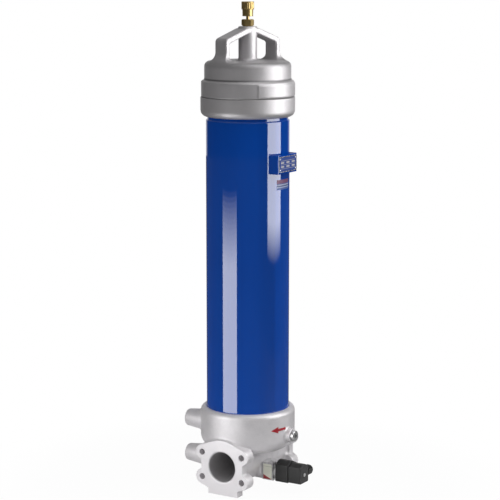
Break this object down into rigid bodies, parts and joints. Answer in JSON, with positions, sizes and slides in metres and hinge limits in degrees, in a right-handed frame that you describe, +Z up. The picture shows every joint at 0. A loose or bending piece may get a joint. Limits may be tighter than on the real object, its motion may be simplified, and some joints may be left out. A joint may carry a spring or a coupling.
{
  "type": "inline filter",
  "caption": "Upright inline oil filter: blue tube on a cast flanged head, screwed cover with handle and bleed valve, clogging indicator at the front.",
  "frame": {"origin": "on the tube's axis, in the plane of the two feet", "axes": "+Z up along the tube; +X along the port axis towards the inlet flange; -Y towards the indicator and nameplate, +Y towards the mounting bosses"},
  "size_m": [0.168, 0.2088, 0.822],
  "materials": {
    "cast_head": "blasted casting, machined faces",
    "cast_cover": "satin casting",
    "turned_aluminium": "turned",
    "blue_paint": "gloss paint",
    "plate_blue": "satin plate",
    "red_paint": "satin paint",
    "sticker_film": "printed film",
    "label_film": "printed film",
    "brass": "turned brass",
    "zinc_steel": "zinc plated",
    "spring_steel": "drawn wire",
    "black_plastic": "moulded",
    "sealing_rubber": "moulded",
    "filter_medium": "pleated glass fibre",
    "filter_wrap": "open wrap"
  },
  "bodies": {
    "housing": {"head_casting": "cast_head", "flow_arrow": "red_paint", "side_plug": "zinc_steel", "side_plug_seal": "sealing_rubber", "drain_plug": "zinc_steel", "drain_plug_seal": "sealing_rubber", "outlet_spigot": "turned_aluminium", "filter_tube": "blue_paint", "tube_oring": "sealing_rubber", "tube_end_ring": "cast_cover", "end_ring_oring": "sealing_rubber", "nameplate_bracket": "blue_paint", "nameplate": "plate_blue", "nameplate_rivets": "turned_aluminium", "info_sticker": "sticker_film", "element_bottom_cap": "zinc_steel", "element_oring": "sealing_rubber", "element_core": "zinc_steel", "element_pleats": "filter_medium", "element_wrap": "filter_wrap", "element_top_cap": "zinc_steel", "bypass_cage": "zinc_steel", "bypass_spring": "spring_steel", "indicator_body": "turned_aluminium", "indicator_seal": "sealing_rubber", "indicator_label": "label_film", "indicator_ring": "zinc_steel", "switch_housing": "black_plastic", "connector_gasket": "sealing_rubber", "connector_housing": "black_plastic", "connector_screw": "zinc_steel", "gland_nut": "black_plastic", "gland_insert": "sealing_rubber"},
    "cover_seal_body": {"cover_oring": "sealing_rubber"},
    "cover": {"cover_casting": "cast_cover", "vent_body": "brass", "vent_seal": "sealing_rubber"},
    "vent_needle": {"vent_needle": "brass"},
    "vent_knob": {"vent_knob": "brass"},
    "bypass_poppet": {"bypass_poppet": "zinc_steel"},
    "indicator_piston": {"indicator_piston": "zinc_steel", "indicator_spring": "spring_steel"},
    "element_bail": {"element_bail": "zinc_steel"}
  },
  "joints": [
    {"name": "cover_turn", "type": "hinge", "parent": "cover_seal_body", "child": "cover", "pos_m": [0, 0, 0.69], "axis": [0, 0, 1], "range_deg": [0, 1710.36]},
    {"name": "cover_rise", "type": "slide", "parent": "housing", "child": "cover_seal_body", "axis": [0, 0, 1], "range_m": [0, 0.019]},
    {"name": "vent_turn", "type": "hinge", "parent": "vent_needle", "child": "vent_knob", "pos_m": [0, 0, 0.81], "axis": [0, 0, 1], "range_deg": [0, 1080.36]},
    {"name": "vent_rise", "type": "slide", "parent": "cover", "child": "vent_needle", "axis": [0, 0, 1], "range_m": [0, 0.003]},
    {"name": "bypass_open", "type": "slide", "parent": "housing", "child": "bypass_poppet", "axis": [0, 0, -1], "range_m": [0, 0.006], "stiffness_N_per_m": 900, "springref_m": -0.012, "deforming": ["bypass_spring"]},
    {"name": "indicator_move", "type": "slide", "parent": "housing", "child": "indicator_piston", "axis": [0, -1, 0], "range_m": [0, 0.002], "stiffness_N_per_m": 400, "springref_m": -0.004},
    {"name": "bail_lift", "type": "hinge", "parent": "housing", "child": "element_bail", "pos_m": [0, 0, 0.647], "axis": [0, -1, 0], "range_deg": [0, 90]}
  ],
  "couplings": [
    {"joint": "cover_turn", "follows": "cover_rise", "rad_per_m": 1570.8},
    {"joint": "vent_turn", "follows": "vent_rise", "rad_per_m": 6283.2}
  ]
}
